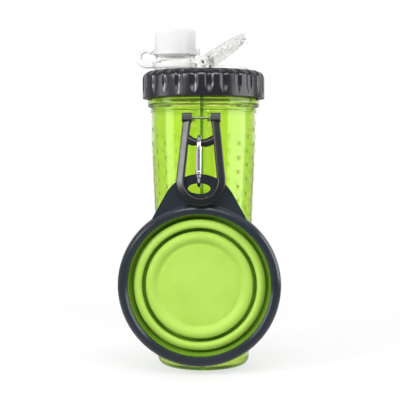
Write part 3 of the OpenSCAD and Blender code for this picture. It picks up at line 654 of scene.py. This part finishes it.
def bowl_base():
    """Inner ridge and floor in one closed skin, with a shallow dish in the middle."""
    face, back, axis_r = 0.9, 1.9, 0.02
    ridge = [(29.8, back), (31.4, 1.5), (33.2, 0.7), (34.8, 0.65), (36.2, 1.4), (36.9, 2.5), (37.5, 3.0),
             (38.2, 2.7), (38.15, 1.9), (37.6, 0.6), (36.6, -0.4), (35.4, -1.0), (34.0, -1.1),
             (32.7, -0.75), (31.5, -0.05), (30.5, 0.7), (29.6, 1.2), (28.7, 1.3), (27.4, 1.12),
             (24.0, 1.0), (18.0, 0.93)]
    floor_front = [(r, face) for r in (12.0, 6.0, 1.5, 0.2, 0.05, axis_r)]
    floor_back = [(r, back) for r in (axis_r, 12.0, 26.0)]
    profile = [tuple(p) for p in open_spline(ridge, 4)] + floor_front + floor_back
    obj = lathe("bowl_base", profile, "bowl_floor", silicone, at_bowl,
                segments=BOWL_SEGMENTS)
    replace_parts(obj, "bowl_floor")


bowl_outer_wall()
bowl_outer_web()
bowl_band()
bowl_inner_wall()
bowl_inner_web()
bowl_base()


# Tether strap: a soft band that bends out and back

def tether():
    half_width, half_thick, corner = 3.0, 2.35, 1.3
    flat_steps, bend_steps = 5, 40
    bend_from, bend_to = math.radians(270), math.radians(38)
    ring_edge = SPOUT_X - 16.5
    low_z, high_z = STRAP_Z - STRAP_R, STRAP_Z + STRAP_R
    across = (0, 1, 0)
    path, directions = [], []
    for i in range(flat_steps):
        path.append((ring_edge + (STRAP_X - ring_edge) * i / flat_steps, 0, low_z))
        directions.append(((0, 0, -1), across))
    for i in range(bend_steps + 1):
        a = bend_from + (bend_to - bend_from) * i / bend_steps
        out = (math.cos(a), 0, math.sin(a))
        path.append((STRAP_X + STRAP_R * out[0], 0, STRAP_Z + STRAP_R * out[2]))
        directions.append((out, across))
    section = rounded_box(-half_thick, half_thick, -half_width, half_width, corner)
    obj = sweep("tether_band", path, directions, section, None, strap_plastic)
    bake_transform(obj)
    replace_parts(obj, "tether_strap")


tether()


# Seals and gaskets

def d_outline(radius, straight_x, corner=2.2, steps=56):
    """Circle about the origin with a straight side at straight_x and rounded corners."""
    half = math.acos(straight_x / radius)
    angles = [-half + 2 * half * i / steps for i in range(steps + 1)]
    return rounded([(radius * math.cos(a), radius * math.sin(a)) for a in angles], corner, 3)


def door_seal():
    """A ring that follows the D of the snack door, on its inner side."""
    outline = d_outline(32.7, 5.9)
    section = rounded_box(-1.4, 1.4, -4.2, -0.65, 0.7)
    verts = []
    for i, p in enumerate(outline):
        tangent = (outline[(i + 1) % len(outline)] - outline[i - 1]).normalized()
        verts += [at_hatch((p.x + tangent.y * a, p.y - tangent.x * a, b)) for a, b in section]
    faces = side_faces(len(outline), len(section), closed=True)
    obj = add_mesh("snack_door_seal", verts, faces, "hatch", pale_silicone)
    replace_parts(obj, "hatch_seal")


def lid_gasket():
    """A flat ring under the lid's flange."""
    section = rounded_box(37.5, 39.75, 213.52, 214.48, 0.35)
    obj = lathe("gasket_ring", section, "lid", pale_silicone, at_origin)
    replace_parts(obj, "lid_gasket")


def cap_liner():
    """A disc in the top of the cap, with a shallow raised ring on its lower side."""
    low, low_ring, top = 248.3, 248.16, 249.34
    axis_r, outer_r = 0.02, 13.35
    profile = [(axis_r, low), (6.0, low), (6.6, low_ring), (11.6, low_ring), (12.2, low), (outer_r, low),
               (outer_r, top), (axis_r, top)]
    obj = lathe("liner_disc", rounded(profile, 0.2), "cap", pale_silicone, at_spout,
                segments=96)
    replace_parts(obj, "cap_liner")


def divider_strip():
    """A strip under the lid with a groove that sits on the bottle's dividing wall."""
    half_length, half_width, half_groove = 34.9, 2.1, 1.12
    low_z, groove_z, top_z = 205.1, 207.05, 209.95
    steps = 12
    section = rounded([(-half_width, low_z), (-half_groove, low_z), (-half_groove, groove_z),
                       (half_groove, groove_z), (half_groove, low_z), (half_width, low_z),
                       (half_width, top_z), (-half_width, top_z)], 0.45)
    path = [(0, -half_length + 2 * half_length * i / steps, 0) for i in range(steps + 1)]
    directions = [((1, 0, 0), (0, 0, 1))] * len(path)
    obj = sweep("divider_strip", path, directions, section, "lid", pale_silicone)
    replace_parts(obj, "divider_seal")


door_seal()
lid_gasket()
cap_liner()
divider_strip()


# Stage: floor, world, lamps and camera

def calculate(tree, operation, *sources):
    """A math node on sockets or numbers."""
    node = tree.nodes.new("ShaderNodeMath")
    node.operation = operation
    for entry, source in zip(node.inputs, sources):
        if isinstance(source, float):
            entry.default_value = source
        else:
            tree.links.new(source, entry)
    return node.outputs["Value"]


def ray_kinds(tree):
    """Two sockets: one for a straight or transmitted ray, and one for a mirrored ray."""
    rays = tree.nodes.new("ShaderNodeLightPath")
    direct = calculate(tree, "MAXIMUM", rays.outputs["Is Camera Ray"], rays.outputs["Is Transmission Ray"])
    return direct, rays.outputs["Is Glossy Ray"]


def make_floor():
    """A grey floor that takes the shadow near the bottle and turns into plain white further out."""
    size, fade_from, fade_to = 6.0, 0.10, 0.42
    corners = [(-size, -size, 0), (size, -size, 0), (size, size, 0), (-size, size, 0)]
    mesh = bpy.data.meshes.new("floor")
    mesh.from_pydata(corners, [], [(0, 1, 2, 3)])
    obj = bpy.data.objects.new("floor", mesh)
    bpy.context.scene.collection.objects.link(obj)
    material = bpy.data.materials.new("floor")
    material.use_nodes = True
    tree = material.node_tree
    tree.nodes.remove(tree.nodes["Principled BSDF"])
    diffuse = tree.nodes.new("ShaderNodeBsdfDiffuse")
    diffuse.inputs["Color"].default_value = (0.92, 0.92, 0.93, 1)
    far = tree.nodes.new("ShaderNodeEmission")
    far.inputs["Color"].default_value = (1, 1, 1, 1)
    # The far floor is white to the camera and dimmer to the rays that light the bottle
    direct, _ = ray_kinds(tree)
    tree.links.new(spread(tree, direct, 0.0, 1.0, 0.35, 1.0), far.inputs["Strength"])
    coords = tree.nodes.new("ShaderNodeTexCoord")
    length = tree.nodes.new("ShaderNodeVectorMath")
    length.operation = "LENGTH"
    tree.links.new(coords.outputs["Object"], length.inputs[0])
    fade = spread(tree, length.outputs["Value"], fade_from, fade_to, 0.6, 1.0, "SMOOTHERSTEP")
    mix = tree.nodes.new("ShaderNodeMixShader")
    tree.links.new(fade, mix.inputs["Fac"])
    tree.links.new(diffuse.outputs["BSDF"], mix.inputs[1])
    tree.links.new(far.outputs["Emission"], mix.inputs[2])
    tree.links.new(mix.outputs["Shader"], tree.nodes["Material Output"].inputs["Surface"])
    mesh.materials.append(material)


def make_world():
    world = bpy.data.worlds.new("studio")
    bpy.context.scene.world = world
    world.use_nodes = True
    tree = world.node_tree
    background = tree.nodes["Background"]
    background.inputs["Color"].default_value = (1, 1, 1, 1)
    coords = tree.nodes.new("ShaderNodeTexCoord")
    split = tree.nodes.new("ShaderNodeSeparateXYZ")
    tree.links.new(coords.outputs["Generated"], split.inputs["Vector"])
    # White behind the bottle, dimmer on the camera's side, dark cards far to the left and right
    front = spread(tree, split.outputs["Y"], -0.4, 0.35, 0.2, 1.0)
    sideways = calculate(tree, "ABSOLUTE", split.outputs["X"])
    cards = spread(tree, sideways, 0.5, 0.8, 1.0, 0.25)
    studio = calculate(tree, "MULTIPLY", front, cards)
    # Glossy rays see a little of the white, so that black plastic stays black
    direct, mirrored = ray_kinds(tree)
    white_share = calculate(tree, "MAXIMUM", direct, calculate(tree, "MULTIPLY", mirrored, 0.15))
    seen = tree.nodes.new("ShaderNodeMix")
    tree.links.new(white_share, seen.inputs["Factor"])
    tree.links.new(studio, seen.inputs["A"])
    seen.inputs["B"].default_value = 1.0
    tree.links.new(seen.outputs["Result"], background.inputs["Strength"])


def lamp(name, place, target, size, power):
    data = bpy.data.lights.new(name, "AREA")
    data.shape = "RECTANGLE"
    data.size, data.size_y = size
    data.energy = power
    obj = bpy.data.objects.new(name, data)
    bpy.context.scene.collection.objects.link(obj)
    obj.location = place
    obj.rotation_euler = (Vector(target) - Vector(place)).to_track_quat("-Z", "Y").to_euler()


def make_camera():
    """The photograph's camera, worked out from the ellipses of the collar, the bead and the foot."""
    picture_px, focal_px, aim_right_px, aim_down_px = 400.0, 983.0, 3.5, 48.5
    azimuth, distance, height = math.radians(2.0), 0.742, 0.160
    data = bpy.data.cameras.new("camera")
    data.sensor_width = 36.0
    data.lens = focal_px / picture_px * data.sensor_width
    obj = bpy.data.objects.new("camera", data)
    bpy.context.scene.collection.objects.link(obj)
    obj.location = (distance * math.sin(azimuth), -distance * math.cos(azimuth), height)
    pitch = math.atan(aim_down_px / focal_px)
    yaw = azimuth + math.atan(aim_right_px / focal_px)
    obj.rotation_euler = (math.pi / 2 - pitch, 0, yaw)
    bpy.context.scene.camera = obj


make_floor()
make_world()
lamp("key_left", place=(-0.98, -0.22, 0.28), target=(0, 0, 0.17), size=(0.4, 0.9), power=3.0)
lamp("soft_left", place=(-0.78, -0.80, 0.56), target=(0, 0, 0.15), size=(0.45, 0.4), power=8.0)
lamp("fill_right", place=(0.95, -0.15, 0.30), target=(0, 0, 0.14), size=(0.9, 0.9), power=8.0)
lamp("front_high", place=(0.15, -1.05, 0.92), target=(0, 0, 0.12), size=(1.0, 0.4), power=9.5)
make_camera()
bpy.context.scene.view_settings.view_transform = "Standard"
